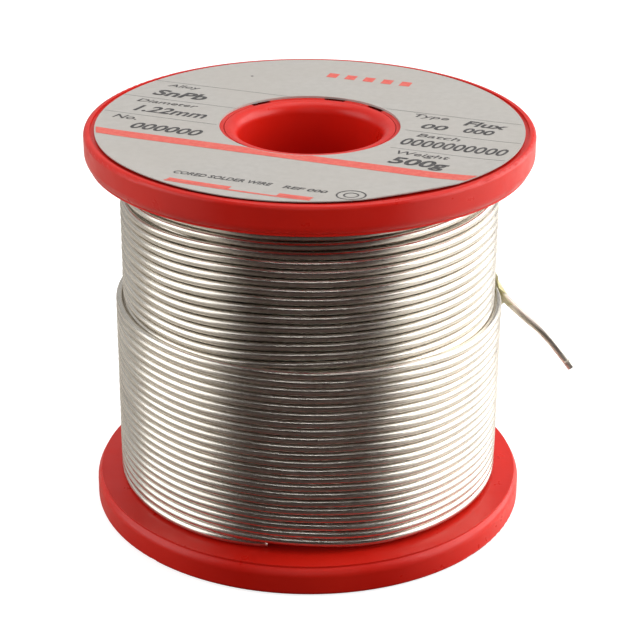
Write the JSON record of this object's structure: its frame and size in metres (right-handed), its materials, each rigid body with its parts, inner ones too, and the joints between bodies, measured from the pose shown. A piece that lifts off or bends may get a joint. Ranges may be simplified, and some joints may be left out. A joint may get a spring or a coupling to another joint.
{
  "type": "solder wire spool",
  "caption": "Moulded two-flange spool with a hub bore, wound with layers of flux-cored solder wire whose free end is taped down.",
  "frame": {"origin": "centre of the lower flange's resting plane, on the hub axis", "axes": "+Z along the hub axis, up through the labelled flange; the wire's free end points along +X"},
  "size_m": [0.0715, 0.064, 0.0581],
  "materials": {
    "spool_plastic": "satin moulded",
    "label_paper": "printed semi-gloss",
    "solder_wire": "drawn satin solder",
    "tape_film": "translucent adhesive tape",
    "flux": "resin"
  },
  "bodies": {
    "root": {"lower_flange": "spool_plastic", "upper_flange": "spool_plastic", "hub_sleeve": "spool_plastic", "barrel": "spool_plastic", "label": "label_paper", "wire_layer_1": "solder_wire", "wire_layer_2": "solder_wire", "wire_layer_3": "solder_wire", "wire_layer_4": "solder_wire", "wire_layer_5": "solder_wire", "wire_layer_6": "solder_wire", "wire_layer_7": "solder_wire", "wire_layer_8": "solder_wire", "wire_layer_9": "solder_wire", "wire_start": "solder_wire", "tail_tape": "tape_film", "wire_tail": "solder_wire", "wire_tip": "solder_wire", "flux_cores": "flux"}
  },
  "joints": []
}
